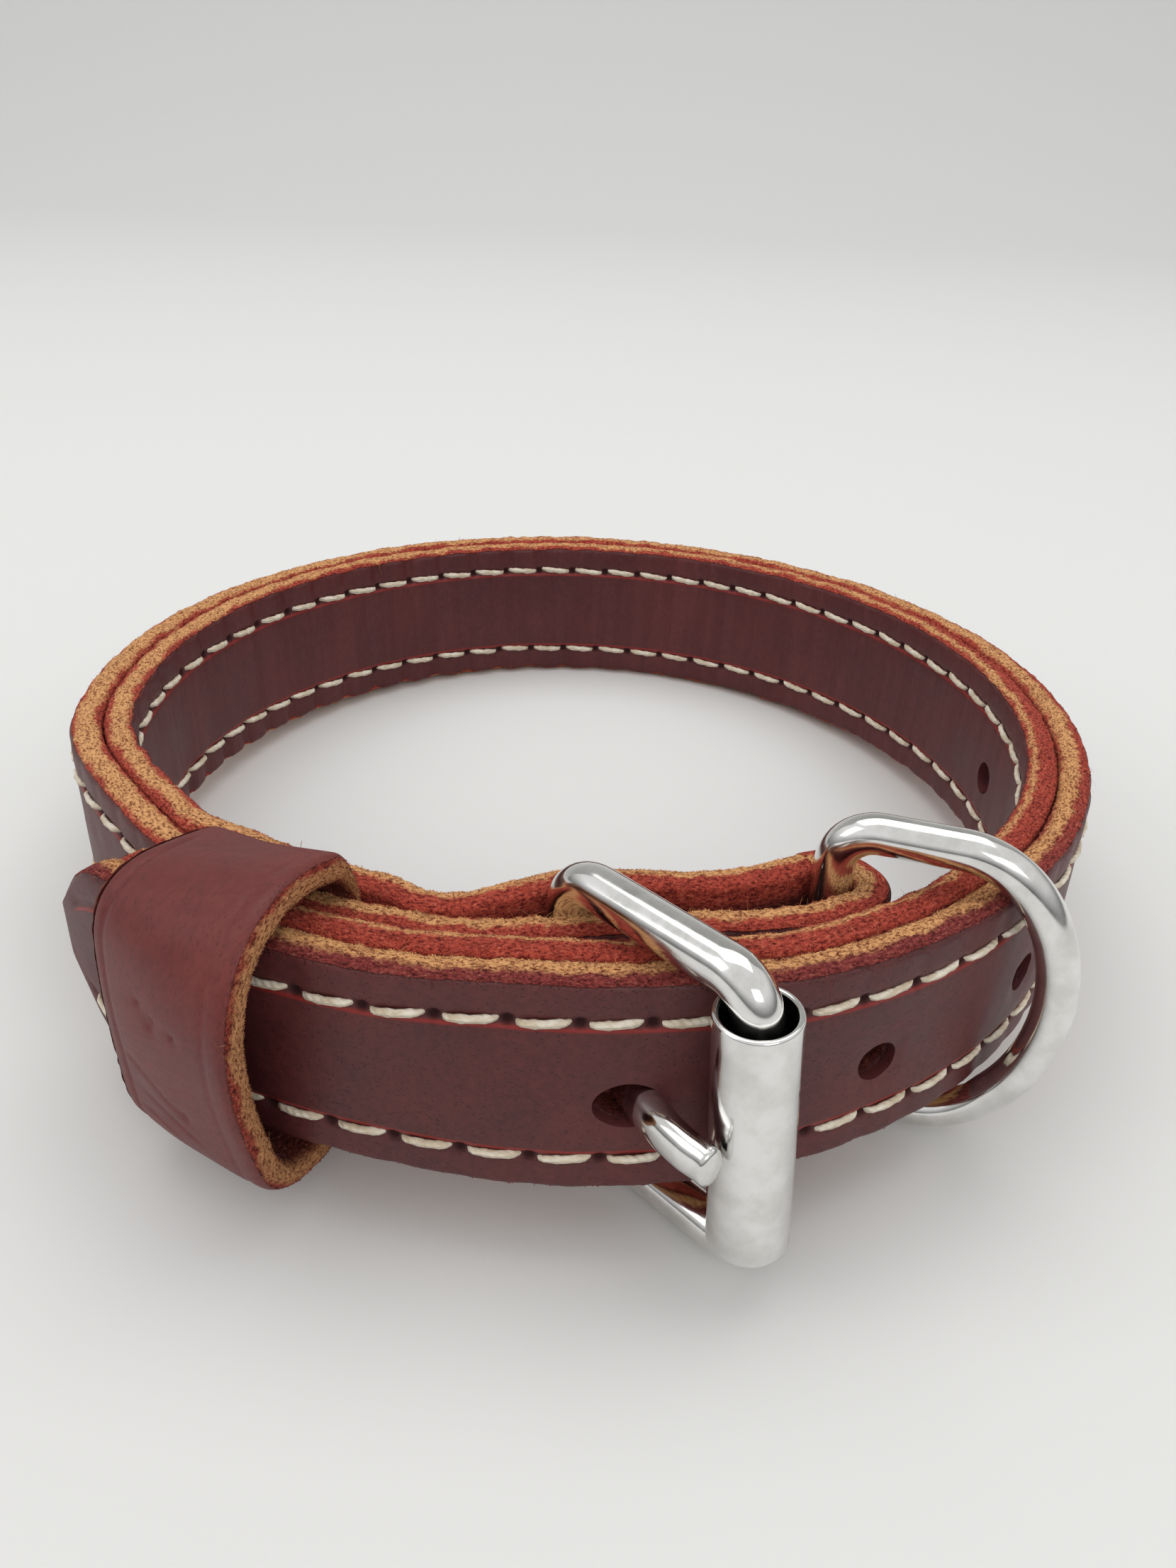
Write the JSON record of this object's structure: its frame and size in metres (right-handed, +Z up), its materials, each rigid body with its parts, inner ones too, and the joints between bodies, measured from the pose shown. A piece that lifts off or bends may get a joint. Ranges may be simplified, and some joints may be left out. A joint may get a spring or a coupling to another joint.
{
  "type": "dog collar",
  "caption": "Fastened two-ply leather dog collar standing on its edge, with a roller buckle, a leather keeper and a D-ring held in the strap's fold.",
  "frame": {"origin": "centre of the bounding box at its base, on the surface that the collar stands on", "axes": "+Z up from that surface, -Y towards the front with the buckle, +X to the right as the buckle is looked at"},
  "size_m": [0.1408, 0.1538, 0.0413],
  "materials": {
    "strap_leather": "smooth oiled burgundy grain with raw tan and red edges",
    "keeper_leather": "smooth oiled burgundy grain, suede inside",
    "polished_steel": "polished"
  },
  "bodies": {
    "root": {"strap": "strap_leather", "keeper": "keeper_leather", "buckle_frame": "polished_steel", "tongue": "polished_steel"},
    "roller": {"roller": "polished_steel"},
    "d_ring": {"d_ring": "polished_steel"}
  },
  "joints": [
    {"name": "roller_spin", "type": "hinge", "parent": "root", "child": "roller", "pos_m": [0.01879, -0.07068, 0.02165], "axis": [-0.0676, 0.048, 0.9966], "continuous": true},
    {"name": "ring_swing", "type": "hinge", "parent": "root", "child": "d_ring", "pos_m": [0.02905, -0.04442, 0.0209], "axis": [0, 0.0651, 0.9979], "range_deg": [-78, 0]}
  ]
}
